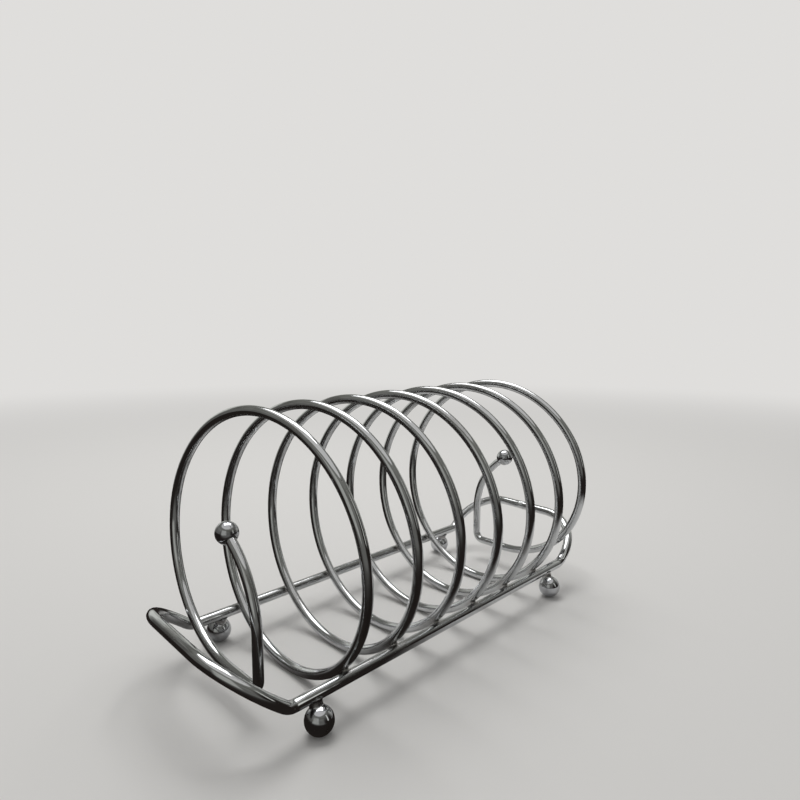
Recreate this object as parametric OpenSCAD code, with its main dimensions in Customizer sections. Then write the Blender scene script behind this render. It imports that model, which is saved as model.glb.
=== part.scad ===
// Coiled wire napkin holder: one bright-plated wire wound on its side, welded to a bent base wire on ball feet.
// Millimetres, +Z up. The origin is on the table under the middle; the coil's axis runs along Y, front at -Y.

/* [Coil] */
// Diameter of the coil, at the middle of the wire
coil_d = 120; // [100:1:140]
// Thickness of the coil's wire
coil_wire_d = 3.8; // [3:0.1:5]
// Number of full turns
coil_turns = 7; // [4:1:9]
// Distance from one turn to the next
coil_pitch = 29.4; // [22:0.1:36]

/* [Coil ends] */
// Angle of the end turn over which the wire draws in to the start of its hook
draw_angle = 120; // [80:5:160]
// How far the drawn-in end runs ahead of the plain helix
draw_ahead = 1; // [0:0.1:3]
// How far the drawn-in end lies below the middle of the rails
hook_drop = 2.4; // [0:0.1:3]
// Distance from the coil's middle to the upright of the hook
hook_reach = 23.4; // [18:0.1:28]
// Bend radius at the foot of the hook
hook_foot_r = 5; // [4:0.5:8]
// Straight height of the hook above its foot bend
hook_rise = 16.6; // [10:0.1:22]
// Radius of the hook's upper curve
hook_r = 42; // [34:0.5:50]
// Angle through which the upper curve turns
hook_turn = 54; // [45:1:65]

/* [Finials] */
// Diameter of the ball on each end of the coil
finial_d = 10; // [8:0.5:14]

/* [Base wire] */
// Thickness of the base wire
base_wire_d = 5.2; // [4:0.1:6]
// Angle of each rail from straight below the coil's axis
rail_angle = 43.4; // [38:0.2:48]
// How far short of the coil's plain end the rails bend up, between the two rails
rail_end_in = 1; // [-3:0.1:4]
// How far the right rail stands ahead of the middle, and the left one behind it
rail_shift = 5.4; // [0:0.1:8]
// Bend radius where a rail turns up to the raised end
rail_bend_r = 6; // [5:0.5:10]
// How far the raised end reaches ahead of the bend of the rail
end_ahead = 26.3; // [20:0.1:32]
// Height of the raised end above the rails
end_rise = 20.3; // [14:0.1:26]
// How far the raised end flares out beyond each rail
end_flare = 2.2; // [0:0.1:6]
// Bend radius of the round corners of the raised end
end_corner_r = 30; // [20:0.5:36]

/* [Feet] */
// Diameter of each ball foot
foot_d = 12; // [9:0.5:16]
// Diameter of the neck between ball and rail
neck_d = 5.6; // [5.2:0.1:7]
// Clear length of the neck, from the ball to the rail
neck_h = 0.9; // [0.3:0.1:4]
// Angle by which each foot splays outward from straight below the rail
foot_splay = 18.5; // [0:0.5:30]
// Depth of the saddle that the neck wraps up round the rail
saddle_depth = 0.9; // [0.4:0.1:1.4]
// Distance from the bend of the rail to the front right foot, and to the back left one
near_foot_inset = 12; // [8:0.5:40]
// Distance from the bend of the rail to the front left foot, and to the back right one
far_foot_inset = 16.5; // [8:0.5:40]

/* [Fits] */
// Gap left for the weld where wires and feet touch
weld_gap = 0.1; // [0.05:0.05:0.3]
// Clearance of the wire's end in the bore of a finial, all round
bore_gap = 0.1; // [0.05:0.05:0.3]
// How much thicker the base wire is in its bends, where bending swells it
bend_swell = 0.03; // [0.02:0.01:0.06]
// Length by which each straight run of the base wire ends inside the swollen bend
bend_lap = 0.2; // [0.15:0.05:0.25]

/* [Hidden] */

chrome = [0.56, 0.57, 0.58];
dark_chrome = [0.50, 0.51, 0.53];
fine = 64;

// Largest share of a straight leg that its two bends may take up
bend_share = 0.98;

// Rings in one turn, sides of the tube, and rings in the bends of a hook
turn_rings = 32;
tube_sides = 8;
foot_rings = 6;
curve_rings = 6;

coil_r = coil_d/2;
half_turns = coil_turns/2;
draw_turns = draw_angle/360;

// The rails touch the coil from outside
rail_reach = coil_r + coil_wire_d/2 + base_wire_d/2 + weld_gap;
rail_x = rail_reach*sin(rail_angle);
rail_drop = rail_reach*cos(rail_angle);
foot_reach = base_wire_d/2 + neck_h + foot_d/2;
rail_z = foot_d/2 + foot_reach*cos(foot_splay);
axis_z = rail_z + rail_drop;
rail_y = half_turns*coil_pitch - rail_end_in;

// The wire's drawn-in end runs on straight from the coil's lowest point to the foot of the hook
end_r = rail_drop + hook_drop;
end_y = -half_turns*coil_pitch - draw_ahead;
end_slope = atan(coil_pitch/(2*PI*end_r));
end_run = hook_reach - hook_foot_r;

function unit(v) = v/norm(v);
function smooth(t) = t*t*(3 - 2*t);
function clamp01(t) = min(1, max(0, t));
function turned(p) = [-p.x, -p.y, p.z];
function reversed(list) = [for (i = [len(list) - 1:-1:0]) list[i]];

// The coil's middle line at u turns from its middle; both ends draw in and run ahead
function draw_share(u) = smooth(clamp01((abs(u) - half_turns + draw_turns)/draw_turns));
function coil_point(u) =
    let (angle = 360*(u + half_turns) - 180,
         share = draw_share(u),
         r = coil_r - (coil_r - end_r)*share)
    [r*sin(angle), coil_pitch*u + sign(u)*draw_ahead*share, axis_z + r*cos(angle)];

// The hook lies in an upright plane along the run of the wire's end: s is the distance along it, h the height
function hook_place(s, h) = [s*cos(end_slope), end_y - s*sin(end_slope), axis_z - end_r + h];
run_s = end_run/cos(end_slope);
upright_s = run_s + hook_foot_r;
curve_h = hook_foot_r + hook_rise;
curve_end = [upright_s - hook_r*(1 - cos(hook_turn)), curve_h + hook_r*sin(hook_turn)];
curve_heading = [-sin(hook_turn), cos(hook_turn)];
finial_sh = curve_end + curve_heading*(finial_d/2 + coil_wire_d/2);

// From the wire's end in the ball down to the start of the first turn
hook_path = concat(
    [hook_place(finial_sh[0], finial_sh[1])],
    [for (i = [curve_rings:-1:0])
        let (a = hook_turn*i/curve_rings)
        hook_place(upright_s - hook_r*(1 - cos(a)), curve_h + hook_r*sin(a))],
    [for (i = [foot_rings:-1:0])
        let (a = 90*i/foot_rings)
        hook_place(run_s + hook_foot_r*sin(a), hook_foot_r*(1 - cos(a)))]);
coil_path = concat(
    hook_path,
    [for (i = [0:coil_turns*turn_rings]) coil_point(i/turn_rings - half_turns)],
    reversed([for (p = hook_path) turned(p)]));

// The least distance between stretches of the wire that lie more than half a turn apart along it
apart = turn_rings/2;
self_gap = min([for (i = [0:len(coil_path) - apart - 1])
    for (j = [i + apart:len(coil_path) - 1]) norm(coil_path[i] - coil_path[j])]) - coil_wire_d;
echo(least_gap_of_coil_to_itself = self_gap);

// The raised front end of the base wire, from the right rail round to the left; the back end is turned half round
front_end = [
    [rail_x, -rail_y - rail_shift, rail_z],
    [rail_x + end_flare, -rail_y - rail_shift - end_ahead, rail_z + end_rise],
    [-rail_x - end_flare, -rail_y + rail_shift - end_ahead, rail_z + end_rise],
    [-rail_x, -rail_y + rail_shift, rail_z]];
front_radii = [rail_bend_r, end_corner_r, end_corner_r, rail_bend_r];
base_path = concat(front_end, [for (p = front_end) turned(p)]);
base_radii = concat(front_radii, front_radii);

// Places local axes x, y and z at a point
module placed(x, y, z, at) {
    multmatrix([[x.x, y.x, z.x, at.x], [x.y, y.y, z.y, at.y], [x.z, y.z, z.z, at.z], [0, 0, 0, 1]])
        children();
}

// Any direction square to v
function square_to(v) = unit(cross(v, abs(v.z) < 0.9 ? [0, 0, 1] : [1, 0, 0]));

module straight_wire(from, to, d) {
    z = unit(to - from);
    x = square_to(z);
    placed(x, cross(z, x), z, from)
        cylinder(d = d, h = norm(to - from), $fn = fine);
}

module bent_wire(start, heading, next_heading, r, d) {
    turn = acos(heading*next_heading);
    inward = unit(next_heading - (next_heading*heading)*heading);
    placed(-inward, heading, cross(-inward, heading), start + r*inward)
        rotate_extrude(angle = turn, $fn = fine)
            translate([r, 0])
                circle(d = d + bend_swell, $fn = fine);
}

// Legs of the closed base wire, the length each bend wants, and the length it gets where a leg is short
corners = len(base_path);
legs = [for (i = [0:corners - 1]) base_path[(i + 1) % corners] - base_path[i]];
headings = [for (leg = legs) unit(leg)];
tangents = [for (i = [0:corners - 1]) tan(acos(headings[(i + corners - 1) % corners]*headings[i])/2)];
wanted = [for (i = [0:corners - 1]) base_radii[i]*tangents[i]];
room = [for (i = [0:corners - 1]) min(1, bend_share*norm(legs[i])/(wanted[i] + wanted[(i + 1) % corners]))];
cuts = [for (i = [0:corners - 1]) wanted[i]*min(room[i], room[(i + corners - 1) % corners])];

// One straight run of the base wire and the bend that follows it
module base_run(i, d) {
    j = (i + 1) % corners;
    heading = headings[i];
    straight_wire(base_path[i] + (cuts[i] - bend_lap)*heading, base_path[j] - (cuts[j] - bend_lap)*heading, d);
    bent_wire(base_path[j] - cuts[j]*heading, heading, headings[j], cuts[j]/tangents[j], d);
}

// One rail and the bend at its end
module rail(side, d) {
    base_run((side > 0 ? corners : corners/2) - 1, d);
}

// A tube swept along an open path that never runs along Y
module swept_wire(path, d, sides) {
    n = len(path);
    headings = [for (i = [0:n - 1]) unit(path[min(i + 1, n - 1)] - path[max(i - 1, 0)])];
    rings = [for (i = [0:n - 1])
        let (b = unit([0, 1, 0] - headings[i].y*headings[i]), a = cross(b, headings[i]))
        for (k = [0:sides - 1])
            path[i] + d/2*(cos(360*k/sides)*a + sin(360*k/sides)*b)];
    skin = [for (i = [0:n - 2]) for (k = [0:sides - 1])
        let (m = (k + 1) % sides, low = i*sides, high = low + sides)
        each [[low + k, high + m, low + m], [low + k, high + k, high + m]]];
    start_cap = [for (k = [1:sides - 2]) [0, k, k + 1]];
    last = (n - 1)*sides;
    end_cap = [for (k = [1:sides - 2]) [last, last + k + 1, last + k]];
    polyhedron(points = rings, faces = concat(skin, start_cap, end_cap));
}

module coil_wire() {
    color(chrome)
        swept_wire(coil_path, coil_wire_d, tube_sides);
}

module base_frame() {
    color(chrome)
        for (i = [0:corners - 1])
            base_run(i, base_wire_d);
}

// A splayed ball foot, its neck cut to a saddle under the rail; feet across a diagonal stand at the same inset
module foot(side, end) {
    along = rail_y + (side*end < 0 ? rail_shift - near_foot_inset : -rail_shift - far_foot_inset);
    color(dark_chrome)
        difference() {
            translate([side*(rail_x + foot_reach*sin(foot_splay)), end*along, foot_d/2])
                rotate([0, -side*foot_splay, 0])
                    union() {
                        sphere(d = foot_d, $fn = fine);
                        cylinder(d = neck_d, h = foot_reach - base_wire_d/2 + saddle_depth, $fn = fine);
                    }
            rail(side, base_wire_d + 2*weld_gap);
        }
}

// A ball with a blind bore that takes the wire's end
module finial() {
    at = hook_place(finial_sh[0], finial_sh[1]);
    below = hook_place(curve_end[0], curve_end[1]);
    z = unit(below - at);
    x = square_to(z);
    color(dark_chrome)
        placed(x, cross(z, x), z, at)
            difference() {
                sphere(d = finial_d, $fn = fine);
                translate([0, 0, -bore_gap])
                    cylinder(d = coil_wire_d + 2*bore_gap, h = finial_d, $fn = fine);
            }
}

module finial_back() {
    rotate([0, 0, 180])
        finial();
}

coil_wire();
base_frame();
foot(1, -1);  // foot_front_right
foot(-1, -1);  // foot_front_left
foot(1, 1);  // foot_back_right
foot(-1, 1);  // foot_back_left
finial();  // finial_front
finial_back();
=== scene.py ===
"""Looks of a coiled wire napkin holder: plated wires, welds, feet and finials, built round its CAD frame."""

import math

import bpy
import numpy as np
from bpy.props import FloatProperty, FloatVectorProperty, IntProperty, PointerProperty
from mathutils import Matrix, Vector


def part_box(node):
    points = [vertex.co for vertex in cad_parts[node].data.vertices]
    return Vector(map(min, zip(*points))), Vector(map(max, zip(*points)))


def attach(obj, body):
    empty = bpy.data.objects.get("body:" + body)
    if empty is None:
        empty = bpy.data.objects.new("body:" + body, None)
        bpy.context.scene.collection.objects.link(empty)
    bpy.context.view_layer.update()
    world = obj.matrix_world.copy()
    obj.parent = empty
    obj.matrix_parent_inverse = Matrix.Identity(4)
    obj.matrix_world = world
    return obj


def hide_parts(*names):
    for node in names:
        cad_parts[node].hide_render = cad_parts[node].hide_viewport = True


bl_info = {
    "name": "Coiled Wire Napkin Holder",
    "version": (1, 0, 0),
    "blender": (4, 5, 0),
    "location": "View3D > Sidebar > Napkin Holder",
    "description": "Builds the plated wires, ball feet, finials and welds of a coiled wire napkin holder",
    "category": "Object",
}

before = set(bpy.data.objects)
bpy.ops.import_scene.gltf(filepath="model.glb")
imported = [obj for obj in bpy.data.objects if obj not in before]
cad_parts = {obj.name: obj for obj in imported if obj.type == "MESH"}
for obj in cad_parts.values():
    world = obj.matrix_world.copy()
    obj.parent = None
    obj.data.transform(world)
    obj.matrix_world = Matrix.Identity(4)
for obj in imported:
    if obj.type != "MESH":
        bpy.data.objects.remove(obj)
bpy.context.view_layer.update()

BODY = "root"
FEET = ("foot_front_right", "foot_front_left", "foot_back_right", "foot_back_left")
FINIALS = ("finial_front", "finial_back")
PLACE = "finish_place"  # where a point lies on its wire laid out straight, or on its ball or bead, in metres
HEAT = "weld_heat"  # how close a point is to a weld, from 0 to 1
HALF_TURN = np.array((-1.0, -1.0, 1.0))  # the front end, turned about the upright axis, is the back end
FIT = 0.0008  # how far a piece may reach beyond the CAD node that it replaces
POLE = 0.012  # angle of the tiny flat that closes a ball at its pole
MOST_OVAL = 0.05  # the most that a wire flattens in a bend
OVAL_RATE = 0.22  # how fast it flattens as the bend tightens


# Sizes and finishes that a user can change


def length(name, default, description):
    """A length in metres."""
    return FloatProperty(
        name=name, description=description, default=default, min=0.0, precision=5, unit="LENGTH"
    )


def angle(name, degrees, description):
    """An angle, given in degrees."""
    return FloatProperty(name=name, description=description, default=math.radians(degrees), subtype="ANGLE")


def share(name, default, description):
    """A number from 0 to 1."""
    return FloatProperty(
        name=name, description=description, default=default, min=0.0, max=1.0, subtype="FACTOR"
    )


def colour(name, default, description):
    """A linear colour."""
    return FloatVectorProperty(
        name=name, description=description, default=default, size=3, min=0.0, max=1.0, subtype="COLOR"
    )


class HOLDER_PG_sizes(bpy.types.PropertyGroup):
    """Sizes of the wires and their bends; the CAD has a thinner coil wire and tighter bends at the rails."""

    coil_diameter: length("Coil diameter", 0.1192, "Diameter of the coil, at the middle of the wire")
    coil_wire: length("Coil wire", 0.0046, "Thickness of the coil's wire")
    coil_turns: IntProperty(name="Turns", description="Number of full turns", default=7, min=3)
    coil_pitch: length("Pitch", 0.0294, "Distance from one turn to the next")
    draw_angle: angle("Draw-in angle", 120, "Angle of the end turn over which the wire draws in")
    draw_ahead: length("Draw ahead", 0.001, "How far the drawn-in end runs ahead of the plain helix")
    hook_drop: length("Hook drop", 0.0024, "How far the drawn-in end lies below the middle of the rails")
    hook_reach: length("Hook reach", 0.0234, "Distance from the coil's middle to the upright of the hook")
    hook_foot_r: length("Hook foot radius", 0.005, "Bend radius at the foot of the hook")
    hook_rise: length("Hook rise", 0.0166, "Straight height of the hook above its foot bend")
    hook_r: length("Hook radius", 0.042, "Radius of the hook's upper curve")
    hook_turn: angle("Hook turn", 54, "Angle through which the hook's upper curve turns")
    base_wire: length("Base wire", 0.0052, "Thickness of the base wire")
    rail_angle: angle("Rail angle", 43.4, "Angle of each rail from straight below the coil's axis")
    rail_end_in: length("Rail end", 0.001, "How far short of the coil's plain end the rails bend up")
    rail_shift: length(
        "Rail shift", 0.0054, "How far the right rail stands ahead of the middle, and the left one behind it"
    )
    rail_bend_r: length("Rail bend radius", 0.009, "Bend radius where a rail turns up to the raised end")
    end_ahead: length("End reach", 0.0263, "How far the raised end reaches ahead of the bend of the rail")
    end_rise: length("End rise", 0.0203, "Height of the raised end above the rails")
    end_flare: length("End flare", 0.0022, "How far the raised end flares out beyond each rail")
    end_corner_r: length("End corner radius", 0.030, "Bend radius of the round corners of the raised end")
    neck_diameter: length("Neck diameter", 0.0056, "Diameter of the neck between a ball foot and its rail")
    weld_gap: length("Weld gap", 0.0001, "Gap between the coil's wire and the rails, which the welds fill")
    weld_depth: length("Weld depth", 0.0010, "Width of the wedge between two wires that a weld fills")


class HOLDER_PG_finish(bpy.types.PropertyGroup):
    """The plated finish of the wires and balls."""

    wire_colour: colour("Wire plating", (0.56, 0.57, 0.58), "Colour of the plated wires")
    ball_colour: colour("Ball plating", (0.50, 0.51, 0.53), "Colour of the plated balls")
    haze_colour: colour("Haze", (0.40, 0.40, 0.40), "Colour of the plating where it is hazy with handling")
    heat_colour: colour("Weld heat", (0.24, 0.22, 0.20), "Colour of the plating round a weld")
    pit_colour: colour("Pits", (0.07, 0.06, 0.05), "Colour in the bottom of a pit")
    polish: share("Roughness", 0.07, "Roughness of the clean plating")
    haze: share("Haze", 0.16, "Roughness added where the plating is hazy")


class HOLDER_PG_stage(bpy.types.PropertyGroup):
    """The floor, the light, and the painted reflections that only the plating mirrors."""

    floor_colour: colour("Floor", (0.70, 0.69, 0.67), "Colour of the floor")
    backdrop_colour: colour("Backdrop", (0.74, 0.73, 0.715), "Colour of the backdrop behind the floor")
    # Colours of the glowing sheet that only the plating mirrors: a painted reflection of a dark room, paler
    # higher up, with pale strips that paint highlights
    painted_reflection_dark: colour("Cloth", (0.022, 0.018, 0.016), "Colour of the cloth that only the plating mirrors")
    painted_reflection_top: colour("Cloth top", (0.225, 0.225, 0.205), "Colour of the top of the cloth")
    strip_colour: colour("Strips", (0.97, 0.98, 0.92), "Colour of the pale strips in the cloth")
    sky_strength: FloatProperty(
        name="Fill", description="Strength of the light from all round", default=0.40, min=0.0
    )
    key_power: FloatProperty(
        name="Key", description="Power of the soft box overhead", default=9.0, min=0.0, unit="POWER"
    )


# Lines that the wires follow


def unit(v):
    """Vectors made one long."""
    return v / np.linalg.norm(v, axis=-1, keepdims=True)


def smooth(t):
    """A soft step from 0 to 1."""
    t = np.clip(t, 0.0, 1.0)
    return t * t * (3.0 - 2.0 * t)


def between(start, end, step):
    """Points from start towards end, no further apart than step, without the end."""
    n = max(1, math.ceil(np.linalg.norm(end - start) / step))
    return start + (end - start) * (np.arange(n) / n)[:, None]


def bend(start, heading, next_heading, radius, steps):
    """Points round a bend that starts at a point and turns from one heading to the next."""
    turn = math.acos(np.clip(heading @ next_heading, -1.0, 1.0))
    inward = unit(next_heading - (next_heading @ heading) * heading)
    a = np.linspace(0.0, turn, steps + 1)[:, None]
    return start + radius * (inward * (1.0 - np.cos(a)) + heading * np.sin(a))


def nearest_on(line, point):
    """The place on a line that is closest to a point, and the line's heading there."""
    legs = np.diff(line, axis=0)
    t = np.clip(((point - line[:-1]) * legs).sum(1) / (legs**2).sum(1), 0.0, 1.0)
    places = line[:-1] + t[:, None] * legs
    i = np.argmin(np.linalg.norm(places - point, axis=1))
    return places[i], unit(legs[i])


class Wires:
    """The middle lines of the coil's wire and the base wire, and the places where they are welded."""

    STRAIGHT_STEP = 0.004
    TURN_RINGS = 120
    BEND_RINGS = 14
    BEND_SHARE = 0.98  # the largest share of a straight leg that its two bends may take up

    def __init__(self, sizes):
        self.sizes = sizes
        self.coil_r = sizes.coil_diameter / 2
        self.half_turns = sizes.coil_turns / 2
        self.rail_reach = self.coil_r + sizes.coil_wire / 2 + sizes.base_wire / 2 + sizes.weld_gap
        self.rail_x = self.rail_reach * math.sin(sizes.rail_angle)
        self.rail_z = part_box("base_frame")[0].z + sizes.base_wire / 2
        self.axis_z = self.rail_z + self.rail_reach * math.cos(sizes.rail_angle)
        self.end_r = self.axis_z - self.rail_z + sizes.hook_drop
        self.end_y = -self.half_turns * sizes.coil_pitch - sizes.draw_ahead
        self.end_slope = math.atan(sizes.coil_pitch / (2 * math.pi * self.end_r))
        self.end_run = sizes.hook_reach - sizes.hook_foot_r
        self.rail_y = self.half_turns * sizes.coil_pitch - sizes.rail_end_in

    def helix(self, u):
        """Points of the coil at u turns from its middle; both ends draw in and run ahead."""
        sizes = self.sizes
        draw_turns = sizes.draw_angle / (2 * math.pi)
        drawn = smooth((np.abs(u) - self.half_turns + draw_turns) / draw_turns)
        a = 2 * math.pi * (u + self.half_turns) - math.pi
        r = self.coil_r - (self.coil_r - self.end_r) * drawn
        y = sizes.coil_pitch * u + np.sign(u) * sizes.draw_ahead * drawn
        return np.stack([r * np.sin(a), y, self.axis_z + r * np.cos(a)], -1)

    def hook(self):
        """Points from the wire's end in the front finial down to the start of the first turn."""
        sizes = self.sizes
        run = self.end_run / math.cos(self.end_slope)
        upright = run + sizes.hook_foot_r
        top = sizes.hook_foot_r + sizes.hook_rise

        def place(s, h):
            """The point at a run s along the drawn-in end's heading and a height h above it."""
            x = s * math.cos(self.end_slope)
            y = self.end_y - s * math.sin(self.end_slope)
            return np.stack([x, y, self.axis_z - self.end_r + h], -1)

        a = np.linspace(sizes.hook_turn, 0.0, 2 * self.BEND_RINGS + 1)
        curve = place(upright - sizes.hook_r * (1 - np.cos(a)), top + sizes.hook_r * np.sin(a))
        a = np.linspace(math.pi / 2, 0.0, self.BEND_RINGS + 1)
        foot = place(run + sizes.hook_foot_r * np.sin(a), sizes.hook_foot_r * (1 - np.cos(a)))
        low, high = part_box("finial_front")
        ball = np.array((low + high) / 2)
        start = self.helix(np.array(-self.half_turns))
        return np.concatenate(
            [
                between(ball, curve[0], self.STRAIGHT_STEP),
                curve[:-1],
                between(curve[-1], foot[0], self.STRAIGHT_STEP),
                foot[:-1],
                between(foot[-1], start, self.STRAIGHT_STEP),
            ]
        )

    def coil(self):
        """The coil's wire from the front finial to the back one."""
        n = self.sizes.coil_turns * self.TURN_RINGS
        turns = self.helix(np.linspace(-self.half_turns, self.half_turns, n + 1))
        hook = self.hook()
        return np.concatenate([hook, turns, hook[::-1] * HALF_TURN])

    def base(self):
        """The base wire, all the way round from the middle of its raised back end."""
        sizes = self.sizes
        x, y, up = self.rail_x, self.rail_y, self.rail_z
        front = np.array(
            [
                (x, -y - sizes.rail_shift, up),
                (x + sizes.end_flare, -y - sizes.rail_shift - sizes.end_ahead, up + sizes.end_rise),
                (-x - sizes.end_flare, -y + sizes.rail_shift - sizes.end_ahead, up + sizes.end_rise),
                (-x, -y + sizes.rail_shift, up),
            ]
        )
        back = front * HALF_TURN
        middle = back[1:3].mean(0, keepdims=True)
        points = np.concatenate([middle, back[2:], front, back[:2], middle])
        corner, rail = sizes.end_corner_r, sizes.rail_bend_r
        radii = np.array((0.0, corner, rail, rail, corner, corner, rail, rail, corner, 0.0))
        legs = np.linalg.norm(np.diff(points, axis=0), axis=1)
        headings = unit(np.diff(points, axis=0))
        turns = np.arccos(np.clip((headings[:-1] * headings[1:]).sum(1), -1.0, 1.0))
        tangents = np.concatenate([[0.0], np.tan(turns / 2), [0.0]])
        wanted = radii * tangents
        room = np.minimum(1.0, self.BEND_SHARE * legs / (wanted[:-1] + wanted[1:]))
        line, at = [], points[0]
        for i in range(1, len(points) - 1):
            cut = wanted[i] * min(room[i - 1], room[i])
            start = points[i] - cut * headings[i - 1]
            round_it = bend(start, headings[i - 1], headings[i], cut / tangents[i], self.BEND_RINGS)
            line += [between(at, start, self.STRAIGHT_STEP), round_it[:-1]]
            at = round_it[-1]
        line.append(between(at, points[-1], self.STRAIGHT_STEP))
        return np.concatenate(line)

    def welds(self):
        """Each weld's place, the way from the coil's wire to the rail, and the headings of both wires."""
        sizes = self.sizes
        reach = self.coil_r + sizes.coil_wire / 2 + sizes.weld_gap / 2
        rail = np.array((0.0, 1.0, 0.0))
        step = 1e-4
        rail_turns = sizes.rail_angle / (2 * math.pi)
        found = []
        for side, first in ((-1, rail_turns), (1, 1.0 - rail_turns)):
            for k in range(sizes.coil_turns):
                u = first + k - self.half_turns
                if abs(u) > self.half_turns - sizes.draw_angle / (2 * math.pi):
                    continue
                out = np.array((side * math.sin(sizes.rail_angle), 0.0, -math.cos(sizes.rail_angle)))
                place = np.array((0.0, sizes.coil_pitch * u, self.axis_z)) + reach * out
                heading = unit(self.helix(np.array(u + step)) - self.helix(np.array(u - step)))
                found.append((place, out, heading, rail))
        return found


# Meshes


def new_piece(name, points, faces, place, heat, slot, material, *nodes):
    """A smooth mesh object in the frame, with its finish, riding on the holder's body."""
    mesh = bpy.data.meshes.new(name)
    mesh.from_pydata(points.tolist(), [], faces)
    mesh.polygons.foreach_set("use_smooth", np.ones(len(mesh.polygons), bool))
    places = mesh.attributes.new(PLACE, "FLOAT_VECTOR", "POINT")
    places.data.foreach_set("vector", place.astype(np.float32).ravel())
    heats = mesh.attributes.new(HEAT, "FLOAT", "POINT")
    heats.data.foreach_set("value", heat.astype(np.float32))
    mesh.validate()
    mesh.materials.append(material)
    piece = bpy.data.objects.new(name, mesh)
    bpy.context.scene.collection.objects.link(piece)
    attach(piece, BODY)
    if nodes:
        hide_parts(*nodes)
        lows, highs = zip(*(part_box(n) for n in nodes))
        beyond = np.maximum(np.min(lows, 0) - points.min(0), points.max(0) - np.max(highs, 0)).max()
        if beyond > FIT:
            raise RuntimeError(f"{name} reaches {beyond * 1000:.2f} mm beyond the CAD node it replaces")


def grid_faces(rings, sides, closed):
    """Quads between rings of points, with flat ends on an open tube."""
    i = np.arange(rings if closed else rings - 1)[:, None] * sides
    j = (i + sides) % (rings * sides)
    k = np.arange(sides)[None, :]
    m = (k + 1) % sides
    faces = np.stack([i + k, i + m, j + m, j + k], -1).reshape(-1, 4).tolist()
    if not closed:
        faces.append(list(range(sides - 1, -1, -1)))
        faces.append(list(range((rings - 1) * sides, rings * sides)))
    return faces


def weld_heat(points, welds, spread=0.0032):
    """How close each point is to a weld, from 0 to 1."""
    places = np.array([w[0] for w in welds])
    near = np.min(np.linalg.norm(points[:, None, :] - places[None], axis=2), axis=1)
    return np.exp(-((near / spread) ** 2))


def tube(line, radius, sides, across, closed, swell=None):
    """Points and places of a round wire along a line; the wire turns slightly oval in tight bends."""
    ahead = np.roll(line, -1, 0)
    behind = np.roll(line, 1, 0)
    if not closed:
        ahead[-1], behind[0] = line[-1], line[0]
    heading = unit(ahead - behind)
    b = unit(across - (heading @ across)[:, None] * heading)
    a = np.cross(b, heading)
    turn = np.roll(heading, -1, 0) - np.roll(heading, 1, 0)
    if not closed:
        turn[0], turn[-1] = 0.0, 0.0
    chord = np.linalg.norm(ahead - behind, axis=1)
    curve = np.linalg.norm(turn, axis=1)
    bent = radius * curve / chord
    inward = turn / np.maximum(curve, 1e-9)[:, None]
    oval = np.minimum(MOST_OVAL, OVAL_RATE * bent**2)
    t = np.arange(sides) * (2 * math.pi / sides)
    spoke = np.cos(t)[None, :, None] * a[:, None] + np.sin(t)[None, :, None] * b[:, None]
    along = (spoke * inward[:, None]).sum(2, keepdims=True)
    spoke = spoke * (1 + 0.5 * oval)[:, None, None] - 1.5 * oval[:, None, None] * along * inward[:, None]
    r = radius * (np.ones(len(line)) if swell is None else 1 + swell)
    points = line[:, None] + r[:, None, None] * spoke
    run = np.concatenate([[0.0], np.cumsum(np.linalg.norm(np.diff(line, axis=0), axis=1))])
    place = np.empty_like(points)
    place[..., 0] = run[:, None]
    place[..., 1] = radius * np.cos(t)
    place[..., 2] = radius * np.sin(t)
    return points.reshape(-1, 3), place.reshape(-1, 3)


def lathe(profile, sides):
    """Points turned about Z from a profile of radius and height, ring by ring."""
    t = np.arange(sides) * (2 * math.pi / sides)
    r, h = profile[:, 0], profile[:, 1]
    rings = np.stack([r[:, None] * np.cos(t), r[:, None] * np.sin(t), np.repeat(h[:, None], sides, 1)], -1)
    return rings.reshape(-1, 3)


def weld_bead(place, out, coil_heading, base_heading, coil_r, base_r, gap, depth):
    """A bead in the wedge between two crossing wires, with a hollow rim, closed inside both of them."""
    sides, steps, tries = 40, 7, 200
    nearest, furthest = 0.0002, 0.0046
    sink, hollow_share = 0.00025, 0.35
    x = unit(coil_heading - (coil_heading @ out) * out)
    y = np.cross(out, x)
    phi = np.arange(sides) * (2 * math.pi / sides)
    flat = np.cos(phi)[:, None] * x + np.sin(phi)[:, None] * y
    side_a = np.linalg.norm(flat - (flat @ x)[:, None] * x, axis=1)
    side_b = np.linalg.norm(flat - (flat @ base_heading)[:, None] * base_heading, axis=1)

    def surfaces(rho):
        """Heights of the coil wire's and the base wire's skins at a distance from the weld's middle."""
        drop = coil_r - np.sqrt(np.maximum(coil_r**2 - (rho * side_a) ** 2, 0))
        rise = base_r - np.sqrt(np.maximum(base_r**2 - (rho * side_b) ** 2, 0))
        return -gap / 2 - drop, gap / 2 + rise

    rho = np.zeros(sides)
    for r in np.linspace(nearest, furthest, tries):
        low, high = surfaces(np.full(sides, r))
        rho = np.where(high - low < depth, r, rho)
    low, high = surfaces(rho)
    rings = []
    for t in np.linspace(0.0, 1.0, steps):
        h = (low - sink) + (high - low + 2 * sink) * t
        hollow = hollow_share * depth * 4 * t * (1 - t)
        rings.append(place + (rho - hollow)[:, None] * flat + h[:, None] * out)
    return np.concatenate(rings), grid_faces(steps, sides, False)


# Finishes

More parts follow.
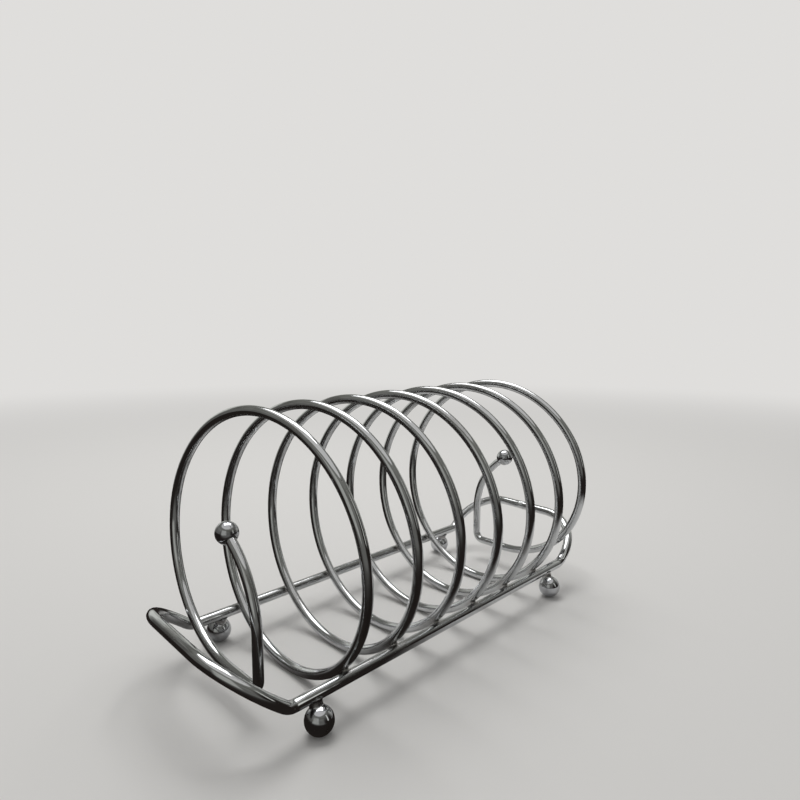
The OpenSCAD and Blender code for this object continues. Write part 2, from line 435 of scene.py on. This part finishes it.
HAZE_CELLS = (55.0, 160.0, 160.0)  # cells of haze to the metre, along a wire and across it
HAZE_EDGE = (0.48, 0.72)  # noise at which haze starts, and where it is whole
LINE_CELLS = 35.0  # cells of a drawing line to the metre, along a wire
LINE_EDGE = (0.5, 0.8)  # noise at which a drawing line starts to be rough, and where it is roughest
LINE_ROUGH = 0.08  # roughness that a drawing line adds
LINE_DEPTH = 0.00001
RIPPLE_ACROSS = 2.2  # ripples across a wire for each one along it
RIPPLE_DEPTH = 0.00016
PIT_CELLS = 520.0  # cells to the metre that may hold a pit
PIT_FREE = 0.86  # share of them that holds none
PIT_EDGE = (0.16, 0.08)  # how far from a cell's point a pit starts, and where it is deep
PIT_ROUGH = 0.3  # roughness that a pit adds
PIT_DEPTH = 0.00008
HEAT_SHADE = 0.75  # share of the heat's colour close to a weld
HEAT_ROUGH = 0.22  # roughness that the heat adds there


class Tree:
    """A material's or world's node tree, emptied, with short ways to add and join nodes."""

    def __init__(self, owner):
        owner.use_nodes = True
        self.nodes = owner.node_tree.nodes
        self.links = owner.node_tree.links
        self.nodes.clear()

    def add(self, kind, inputs=None, **settings):
        """A node with its settings, and its inputs given as values or as sockets to join."""
        node = self.nodes.new(kind)
        for key, value in settings.items():
            setattr(node, key, value)
        for key, value in (inputs or {}).items():
            if isinstance(value, bpy.types.NodeSocket):
                self.links.new(value, node.inputs[key])
            else:
                node.inputs[key].default_value = value
        return node

    def math(self, operation, a, b=0.0, clamp=False):
        """The result of a Math node."""
        return self.add("ShaderNodeMath", {0: a, 1: b}, operation=operation, use_clamp=clamp).outputs[0]

    def ramp(self, value, low, high, to_low=0.0, to_high=1.0):
        """A value taken smoothly from one range to another."""
        inputs = {"Value": value, "From Min": low, "From Max": high, "To Min": to_low, "To Max": to_high}
        return self.add("ShaderNodeMapRange", inputs, interpolation_type="SMOOTHSTEP").outputs["Result"]

    def noise(self, place, stretch, detail=3.0, roughness=0.5):
        """Noise on a place that is stretched by so many cells to the metre along each axis."""
        at = self.add("ShaderNodeMapping", {"Vector": place, "Scale": stretch}).outputs["Vector"]
        inputs = {"Vector": at, "Scale": 1.0, "Detail": detail, "Roughness": roughness}
        return self.add("ShaderNodeTexNoise", inputs).outputs["Fac"]

    def bump(self, height, strength, depth, normal=None, invert=False):
        """A normal that is tilted by a height, on top of an earlier normal where there is one."""
        inputs = {"Strength": strength, "Distance": depth, "Height": height}
        if normal is not None:
            inputs["Normal"] = normal
        return self.add("ShaderNodeBump", inputs, invert=invert).outputs["Normal"]

    def vector(self, operation, a, b=(0.0, 0.0, 0.0), result="Vector"):
        """The result of a Vector Math node."""
        return self.add("ShaderNodeVectorMath", {0: a, 1: b}, operation=operation).outputs[result]

    def mix(self, factor, a, b):
        """A colour mixed from a to b."""
        node = self.add("ShaderNodeMix", data_type="RGBA")
        for socket, value in ((node.inputs[0], factor), (node.inputs[6], a), (node.inputs[7], b)):
            if isinstance(value, bpy.types.NodeSocket):
                self.links.new(value, socket)
            else:
                socket.default_value = value
        return node.outputs[2]

    def blend(self, factor, a, b):
        """A shader blended from the node a to the node b."""
        return self.add("ShaderNodeMixShader", {0: factor, 1: a.outputs[0], 2: b.outputs[0]}).outputs[0]


def rgba(values):
    """A colour property as a socket's value."""
    return (*values, 1.0)


def plating(name, finish, base, draw_lines, ripple):
    """Bright plating over steel: ripples, drawing lines, haze, pits, and dull heat marks round the welds."""
    material = bpy.data.materials.new(name)
    tree = Tree(material)
    place = tree.add("ShaderNodeAttribute", attribute_name=PLACE).outputs["Vector"]
    heat = tree.add("ShaderNodeAttribute", attribute_name=HEAT).outputs["Fac"]

    haze = tree.ramp(tree.noise(place, HAZE_CELLS, detail=4.0, roughness=0.6), *HAZE_EDGE)
    streaks = tree.noise(place, (LINE_CELLS, draw_lines, draw_lines), detail=3.0, roughness=0.65)
    across = RIPPLE_ACROSS * ripple
    waves = tree.noise(place, (ripple, across, across), detail=1.0, roughness=0.4)
    grains = tree.add("ShaderNodeMapping", {"Vector": place, "Scale": (PIT_CELLS, PIT_CELLS, PIT_CELLS)})
    cells = tree.add("ShaderNodeTexVoronoi", {"Vector": grains.outputs["Vector"], "Scale": 1.0})
    chance = tree.add("ShaderNodeSeparateColor", {"Color": cells.outputs["Color"]})
    rare = tree.math("GREATER_THAN", chance.outputs[0], PIT_FREE)
    pit = tree.math("MULTIPLY", tree.ramp(cells.outputs["Distance"], *PIT_EDGE), rare)

    skin = tree.mix(haze, rgba(base), rgba(finish.haze_colour))
    skin = tree.mix(tree.math("MULTIPLY", heat, HEAT_SHADE), skin, rgba(finish.heat_colour))
    skin = tree.mix(pit, skin, rgba(finish.pit_colour))

    rough = tree.math("MULTIPLY_ADD", haze, finish.haze)
    rough.node.inputs[2].default_value = finish.polish
    rough = tree.math("ADD", rough, tree.ramp(streaks, *LINE_EDGE, 0.0, LINE_ROUGH))
    rough = tree.math("ADD", rough, tree.math("MULTIPLY", heat, HEAT_ROUGH))
    rough = tree.math("ADD", rough, tree.math("MULTIPLY", pit, PIT_ROUGH), clamp=True)

    normal = tree.bump(waves, 1.0, RIPPLE_DEPTH)
    normal = tree.bump(streaks, 0.5, LINE_DEPTH, normal)
    normal = tree.bump(pit, 0.6, PIT_DEPTH, normal, invert=True)

    inputs = {"Base Color": skin, "Metallic": 1.0, "Roughness": rough, "Normal": normal}
    shader = tree.add("ShaderNodeBsdfPrincipled", inputs)
    tree.add("ShaderNodeOutputMaterial", {"Surface": shader.outputs[0]})
    return material


def wire_plating(context):
    """The finish of both wires and their welds, made once."""
    finish = context.scene.holder_finish
    made = bpy.data.materials.get("plated_wire")
    return made or plating("plated_wire", finish, finish.wire_colour, draw_lines=2400.0, ripple=75.0)


def ball_plating(context):
    """The finish of the feet and finials, made once."""
    finish = context.scene.holder_finish
    made = bpy.data.materials.get("plated_ball")
    return made or plating("plated_ball", finish, finish.ball_colour, draw_lines=700.0, ripple=90.0)


# Operators: one for each piece or group of like pieces, and one for the stage


class HOLDER_OT_coil_wire(bpy.types.Operator):
    """Build the coil: one wire, wound on its side, with a hook at each end"""

    bl_idname = "holder.coil_wire"
    bl_label = "Coil Wire"
    bl_options = {"REGISTER", "UNDO"}
    SIDES = 24

    def execute(self, context):
        sizes = context.scene.holder_sizes
        wires = Wires(sizes)
        line = wires.coil()
        points, place = tube(line, sizes.coil_wire / 2, self.SIDES, np.array((0.0, 1.0, 0.0)), False)
        heat = weld_heat(points, wires.welds())
        faces = grid_faces(len(line), self.SIDES, False)
        finish = wire_plating(context)
        new_piece("plated_coil", points, faces, place, heat, "coil_chrome", finish, "coil_wire")
        return {"FINISHED"}


class HOLDER_OT_base_wire(bpy.types.Operator):
    """Build the base: one wire bent into two rails and two raised round ends"""

    bl_idname = "holder.base_wire"
    bl_label = "Base Wire"
    bl_options = {"REGISTER", "UNDO"}
    SIDES = 24
    SEAM_SWELL = 0.05  # share by which the wire swells at the seam of its two ends
    SEAM_WIDTH = 0.0009  # how far from the seam that swelling dies away

    def execute(self, context):
        sizes = context.scene.holder_sizes
        wires = Wires(sizes)
        line = wires.base()
        seam = line[0]
        from_seam = np.linalg.norm(line - seam, axis=1)
        swell = self.SEAM_SWELL * np.exp(-((from_seam / self.SEAM_WIDTH) ** 2))
        points, place = tube(line, sizes.base_wire / 2, self.SIDES, np.array((0.0, 0.0, 1.0)), True, swell)
        heat = weld_heat(points, wires.welds())
        faces = grid_faces(len(line), self.SIDES, True)
        finish = wire_plating(context)
        new_piece("plated_base", points, faces, place, heat, "base_chrome", finish, "base_frame")
        return {"FINISHED"}


class HOLDER_OT_welds(bpy.types.Operator):
    """Build the weld beads where the coil lies on the rails"""

    bl_idname = "holder.welds"
    bl_label = "Weld Beads"
    bl_options = {"REGISTER", "UNDO"}
    BEAD_HEAT = 0.8  # how far the heat has dulled the beads themselves, from 0 to 1

    def execute(self, context):
        sizes = context.scene.holder_sizes
        wires = Wires(sizes)
        coil_r, base_r = sizes.coil_wire / 2, sizes.base_wire / 2
        points, faces = [], []
        for weld in wires.welds():
            bead, quads = weld_bead(*weld, coil_r, base_r, sizes.weld_gap, sizes.weld_depth)
            first = sum(map(len, points))
            faces += [[first + i for i in face] for face in quads]
            points.append(bead)
        points = np.concatenate(points)
        heat = np.full(len(points), self.BEAD_HEAT)
        new_piece("weld_beads", points, faces, points, heat, "base_chrome", wire_plating(context))
        return {"FINISHED"}


class HOLDER_OT_feet(bpy.types.Operator):
    """Build the four ball feet, each with a short neck welded up to its rail"""

    bl_idname = "holder.feet"
    bl_label = "Ball Feet"
    bl_options = {"REGISTER", "UNDO"}
    SIDES = 56
    BALL_RINGS = 40
    COVE_RINGS = 8
    NECK_RINGS = 9
    HEAT_REACH = 0.0025  # how far from the rail the weld's heat has dulled the plating

    def execute(self, context):
        sizes = context.scene.holder_sizes
        line = Wires(sizes).base()
        for node in FEET:
            low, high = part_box(node)
            ball_r = (high.x - low.x) / 2
            centre = np.array(((low.x + high.x) / 2, (low.y + high.y) / 2, low.z + ball_r))
            rail, heading = nearest_on(line, centre)
            reach = np.linalg.norm(rail - centre)
            up = (rail - centre) / reach
            along = unit(heading - (heading @ up) * up)
            local = self.foot(ball_r, sizes.neck_diameter / 2, reach, sizes.base_wire / 2)
            points = centre + local @ np.array([np.cross(along, up), along, up])
            heat = np.clip(1 - np.abs(local[:, 2] - reach + sizes.base_wire / 2) / self.HEAT_REACH, 0, 1)
            faces = grid_faces(len(points) // self.SIDES, self.SIDES, False)
            finish = ball_plating(context)
            new_piece("ball_" + node, points, faces, local, heat, "ball_chrome", finish, node)
        return {"FINISHED"}

    def foot(self, ball_r, neck_r, reach, wire_r):
        """Points of a foot about the middle of its ball: ball, neck and a flare that hugs the rail."""
        fillet, flare, sink, most_lift = 0.0007, 0.0004, 0.0004, 0.001
        meet = math.asin((neck_r + fillet) / (ball_r + fillet))
        a = np.linspace(POLE, math.pi - meet, self.BALL_RINGS)
        ball = np.stack([ball_r * np.sin(a), -ball_r * np.cos(a)], 1)
        hub = np.array((neck_r + fillet, (ball_r + fillet) * math.cos(meet)))
        b = np.linspace(1.5 * math.pi - meet, math.pi, self.COVE_RINGS)[1:]
        cove = hub + fillet * np.stack([np.cos(b), np.sin(b)], 1)
        h = np.linspace(cove[-1, 1], reach - wire_r, self.NECK_RINGS)[1:]
        t = (h - h[0]) / (h[-1] - h[0])
        neck = np.stack([neck_r + flare * t**4, h], 1)
        rings = lathe(np.concatenate([ball, cove, neck]), self.SIDES).reshape(-1, self.SIDES, 3)
        saddle = np.sqrt(np.maximum(wire_r**2 - rings[-1, :, 0] ** 2, 0))
        lift = np.where(np.abs(rings[-1, :, 0]) < wire_r, wire_r - saddle, wire_r)
        lift = np.minimum(lift, most_lift) + sink
        for i in range(len(neck)):
            rings[len(ball) + len(cove) + i, :, 2] += lift * t[i]
        return rings.reshape(-1, 3)


class HOLDER_OT_finials(bpy.types.Operator):
    """Build the ball on each end of the coil's wire, with the bore that takes the wire"""

    bl_idname = "holder.finials"
    bl_label = "Finials"
    bl_options = {"REGISTER", "UNDO"}
    SIDES = 56
    SKIN_RINGS = 44
    LIP_RINGS = 7
    LIP = 0.00035  # size of the rounded edge of the bore
    BORE_GAP = 0.00008  # room between the bore and the wire in it
    BORE_DEPTHS = (0.0012, 0.0028)  # depths below the bore's edge at which its wall has rings of points
    HEAT_REACH = 0.0012  # how far from the wire the heat of fixing it has dulled the plating

    def execute(self, context):
        sizes = context.scene.holder_sizes
        hook = Wires(sizes).hook()
        for node, turned in zip(FINIALS, (np.ones(3), HALF_TURN)):
            low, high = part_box(node)
            centre = np.array((low + high) / 2)
            down = unit(hook[1] - hook[0]) * turned
            x = unit(np.cross((0.0, 0.0, 1.0), down))
            local = self.ball((high - low).z / 2, sizes.coil_wire / 2)
            points = centre + local @ np.array([x, np.cross(down, x), down])
            from_wire = np.linalg.norm(local[:, :2], axis=1) - sizes.coil_wire / 2
            heat = np.where(local[:, 2] > 0, np.clip(1 - from_wire / self.HEAT_REACH, 0, 1), 0.0)
            faces = grid_faces(len(points) // self.SIDES, self.SIDES, False)
            finish = ball_plating(context)
            new_piece("ball_" + node, points, faces, local, heat, "ball_chrome", finish, node)
        return {"FINISHED"}

    def ball(self, ball_r, wire_r):
        """Points of a ball about the axis of its bore, which opens upwards."""
        bore_r = wire_r + self.BORE_GAP
        edge = math.asin((bore_r + self.LIP) / ball_r)
        a = np.linspace(math.pi - POLE, edge, self.SKIN_RINGS)
        skin = np.stack([ball_r * np.sin(a), ball_r * np.cos(a)], 1)
        b = np.linspace(0.0, 1.0, self.LIP_RINGS)[1:]
        top = skin[-1, 1]
        lip = np.stack([bore_r + self.LIP * (1 - b) ** 2, top - self.LIP * (b**2 - 0.5 * b)], 1)
        wall = np.array([(bore_r, top - depth) for depth in self.BORE_DEPTHS])
        return lathe(np.concatenate([skin, lip, wall]), self.SIDES)


class HOLDER_OT_stage(bpy.types.Operator):
    """Set the pale floor, the soft light, the glowing sheet of painted reflections that only the plating
    mirrors, and the camera
    """

    bl_idname = "holder.stage"
    bl_label = "Stage"
    bl_options = {"REGISTER", "UNDO"}
    CAMERA_AT = (0.22886, -0.24770, 0.15746)
    CAMERA_PITCH = -0.1147
    CAMERA_YAW = 0.7405
    CAMERA_LENS = 29.22
    KEY_AT = (-0.35, 0.25, 1.15)
    KEY_SIZE = (0.9, 0.7)
    KEY_AIM = (0.0, 0.0, 0.05)
    FLOOR_HALF = 6.0
    FLOOR_FADE = (0.35, 1.5)  # distances between which the floor turns into the backdrop
    RING_RADIUS = 0.55
    RING_HEIGHT = 0.70
    RING_SIDES = 96
    GLOW_MIDDLE = 0.05  # radius of the innermost ring of points of the glowing sheet on the floor
    GLOW_LIFT = 0.0006  # how far that sheet lies above the floor
    BARE_AT = (0.02, 0.06, 0.0)  # middle of the bare floor, which the sheet leaves open
    BARE_STRETCH = (1.0, 0.7, 0.0)  # shares of the distance from there that count along each axis
    BARE_FADE = (0.16, 0.10)  # how far from there the bare floor starts, and where it is whole
    BARE_HEADING = (-0.675, 0.738, 0.0)  # square to its straight front edge
    BARE_EDGE = (-0.075, -0.02)  # how far along that heading it starts, and where it is whole
    PAINTED_PALING = (0.10, 0.60)  # heights between which the sheet's painted reflection turns paler
    STRIP_CORE = 0.6  # share of a strip's reach within which it has its full brightness
    STRIP_FADE = 0.04  # height over which a strip fades at its lowest and highest point
    STRIPS = (  # glowing strips that paint highlights in the plating: azimuth of the middle in degrees, reach, lowest and highest point, brightness from 0 to 1
        (132.0, 0.78, 0.0, 0.36, 0.55),
        (180.0, 0.16, 0.05, 0.40, 0.5),
        (20.0, 0.05, 0.06, 0.50, 1.0),
        (-47.0, 0.42, -0.05, 0.36, 0.15),
        (-68.0, 0.24, 0.0, 0.46, 0.38),
        (-118.0, 0.30, 0.05, 0.45, 0.14),
    )

    def execute(self, context):
        looks = context.scene.holder_stage
        context.scene.view_settings.view_transform = "Standard"
        self.sky(context.scene, looks)
        self.floor(looks)
        self.painted_reflection_ring(looks)
        self.key_box(looks)
        self.camera(context.scene)
        return {"FINISHED"}

    def seen(self, tree):
        """1 for the rays that show the backdrop itself: from the camera, by mirrors and through glass."""
        rays = tree.add("ShaderNodeLightPath").outputs
        seen = tree.math("MAXIMUM", rays["Is Camera Ray"], rays["Is Glossy Ray"])
        return tree.math("MAXIMUM", seen, rays["Is Transmission Ray"])

    def sky(self, scene, looks):
        """Even light from all round, and the pale backdrop behind the floor."""
        scene.world = bpy.data.worlds.new("studio")
        tree = Tree(scene.world)
        white = (1.0, 1.0, 1.0, 1.0)
        fill = tree.add("ShaderNodeBackground", {"Color": white, "Strength": looks.sky_strength})
        backdrop = tree.add("ShaderNodeBackground", {"Color": rgba(looks.backdrop_colour), "Strength": 1.0})
        tree.add("ShaderNodeOutputWorld", {"Surface": tree.blend(self.seen(tree), fill, backdrop)})

    def floor(self, looks):
        """A wide pale floor that runs into the backdrop with no line between them."""
        material = bpy.data.materials.new("floor_paper")
        tree = Tree(material)
        paper = tree.add("ShaderNodeBsdfDiffuse", {"Color": rgba(looks.floor_colour)})
        backdrop = tree.add("ShaderNodeEmission", {"Color": rgba(looks.backdrop_colour), "Strength": 1.0})
        position = tree.add("ShaderNodeNewGeometry").outputs["Position"]
        away = tree.vector("LENGTH", position, result="Value")
        far = tree.math("MULTIPLY", tree.ramp(away, *self.FLOOR_FADE), self.seen(tree))
        tree.add("ShaderNodeOutputMaterial", {"Surface": tree.blend(far, paper, backdrop)})
        h = self.FLOOR_HALF
        corners = [(-h, -h, 0.0), (h, -h, 0.0), (h, h, 0.0), (-h, h, 0.0)]
        floor = self.mesh_object("floor", corners, [(0, 1, 2, 3)], material)

    def painted_reflection_ring(self, looks):
        """A glowing sheet round the holder and on part of the floor: a painted reflection of a dark room,
        paler higher up, with pale strips that paint highlights; only the plating mirrors it.
        """
        material = bpy.data.materials.new("painted_reflection_glow")
        tree = Tree(material)
        position = tree.add("ShaderNodeNewGeometry").outputs["Position"]
        height = tree.add("ShaderNodeSeparateXYZ", {"Vector": position}).outputs["Z"]
        flat = tree.vector("MULTIPLY", position, (1.0, 1.0, 0.0))
        # painted reflection: the sheet glows paler higher up
        paling = tree.ramp(height, *self.PAINTED_PALING)
        skin = tree.mix(paling, rgba(looks.painted_reflection_dark), rgba(looks.painted_reflection_top))
        # pale glowing strips that paint highlights and glints in the plating
        for azimuth, reach, low, high, bright in self.STRIPS:
            around = math.radians(azimuth)
            middle = (self.RING_RADIUS * math.cos(around), self.RING_RADIUS * math.sin(around), 0.0)
            off = tree.vector("DISTANCE", flat, middle, result="Value")
            strip = tree.ramp(off, reach, self.STRIP_CORE * reach, 0.0, bright)
            strip = tree.math("MULTIPLY", strip, tree.ramp(height, low, low + self.STRIP_FADE))
            strip = tree.math("MULTIPLY", strip, tree.ramp(height, high, high - self.STRIP_FADE))
            skin = tree.mix(strip, skin, rgba(looks.strip_colour))
        off = tree.vector("MULTIPLY", tree.vector("SUBTRACT", flat, self.BARE_AT), self.BARE_STRETCH)
        within = tree.ramp(tree.vector("LENGTH", off, result="Value"), *self.BARE_FADE)
        along = tree.vector("DOT_PRODUCT", flat, self.BARE_HEADING, result="Value")
        bare = tree.math("MULTIPLY", within, tree.ramp(along, *self.BARE_EDGE))
        # the sheet glows with its painted reflection and is seen only in the plating
        cloth = tree.add("ShaderNodeEmission", {"Color": skin, "Strength": 1.0})
        clear = tree.add("ShaderNodeBsdfTransparent")
        tree.add("ShaderNodeOutputMaterial", {"Surface": tree.blend(bare, cloth, clear)})
        profile = np.array(
            [
                (self.GLOW_MIDDLE, self.GLOW_LIFT),
                (self.RING_RADIUS, self.GLOW_LIFT),
                (self.RING_RADIUS, self.RING_HEIGHT),
            ]
        )
        points = lathe(profile, self.RING_SIDES).tolist()
        faces = grid_faces(len(profile), self.RING_SIDES, False)[:-1]  # with its middle, but open at the top
        ring = self.mesh_object("painted_reflection_ring", points, faces, material)
        ring.visible_camera = False
        ring.visible_diffuse = False
        ring.visible_shadow = False
        ring.visible_transmission = False

    def mesh_object(self, name, points, faces, material):
        """A mesh object in the scene, with its material."""
        mesh = bpy.data.meshes.new(name)
        mesh.from_pydata(points, [], faces)
        mesh.materials.append(material)
        made = bpy.data.objects.new(name, mesh)
        bpy.context.scene.collection.objects.link(made)
        return made

    def key_box(self, looks):
        """The soft box overhead."""
        light = bpy.data.lights.new("key_box", "AREA")
        light.shape = "RECTANGLE"
        light.size, light.size_y = self.KEY_SIZE
        light.energy = looks.key_power
        box = bpy.data.objects.new("key_box", light)
        box.location = self.KEY_AT
        aim = Vector(self.KEY_AIM) - Vector(self.KEY_AT)
        box.rotation_euler = aim.to_track_quat("-Z", "Y").to_euler()
        box.visible_camera = False
        bpy.context.scene.collection.objects.link(box)

    def camera(self, scene):
        """The camera, at the photograph's viewing angle."""
        data = bpy.data.cameras.new("camera")
        data.sensor_width = 36.0
        data.lens = self.CAMERA_LENS
        data.clip_start = 0.01
        data.clip_end = 50.0
        camera = bpy.data.objects.new("camera", data)
        camera.location = self.CAMERA_AT
        camera.rotation_euler = (math.pi / 2 + self.CAMERA_PITCH, 0.0, self.CAMERA_YAW)
        scene.collection.objects.link(camera)
        scene.camera = camera


class HOLDER_PT_panel(bpy.types.Panel):
    """The stage and the pieces, in the order in which they are built, and their settings"""

    bl_label = "Napkin Holder"
    bl_idname = "HOLDER_PT_panel"
    bl_space_type = "VIEW_3D"
    bl_region_type = "UI"
    bl_category = "Napkin Holder"

    def draw(self, context):
        column = self.layout.column(align=True)
        for operator in OPERATORS:
            column.operator(operator.bl_idname)
        for title, group in (
            ("Sizes", context.scene.holder_sizes),
            ("Finish", context.scene.holder_finish),
            ("Stage", context.scene.holder_stage),
        ):
            box = self.layout.box()
            box.label(text=title)
            for name in group.__annotations__:
                box.prop(group, name)


GROUPS = {
    "holder_sizes": HOLDER_PG_sizes,
    "holder_finish": HOLDER_PG_finish,
    "holder_stage": HOLDER_PG_stage,
}
OPERATORS = (
    HOLDER_OT_stage,
    HOLDER_OT_coil_wire,
    HOLDER_OT_base_wire,
    HOLDER_OT_welds,
    HOLDER_OT_feet,
    HOLDER_OT_finials,
)


def register():
    for group in GROUPS.values():
        bpy.utils.register_class(group)
    for name, group in GROUPS.items():
        setattr(bpy.types.Scene, name, PointerProperty(type=group))
    for operator in OPERATORS:
        bpy.utils.register_class(operator)
    bpy.utils.register_class(HOLDER_PT_panel)


def unregister():
    bpy.utils.unregister_class(HOLDER_PT_panel)
    for operator in reversed(OPERATORS):
        bpy.utils.unregister_class(operator)
    for name, group in GROUPS.items():
        delattr(bpy.types.Scene, name)
        bpy.utils.unregister_class(group)


def main():
    register()
    bpy.ops.holder.stage()
    bpy.ops.holder.coil_wire()
    bpy.ops.holder.base_wire()
    bpy.ops.holder.welds()
    bpy.ops.holder.feet()
    bpy.ops.holder.finials()


if __name__ == "__main__":
    main()
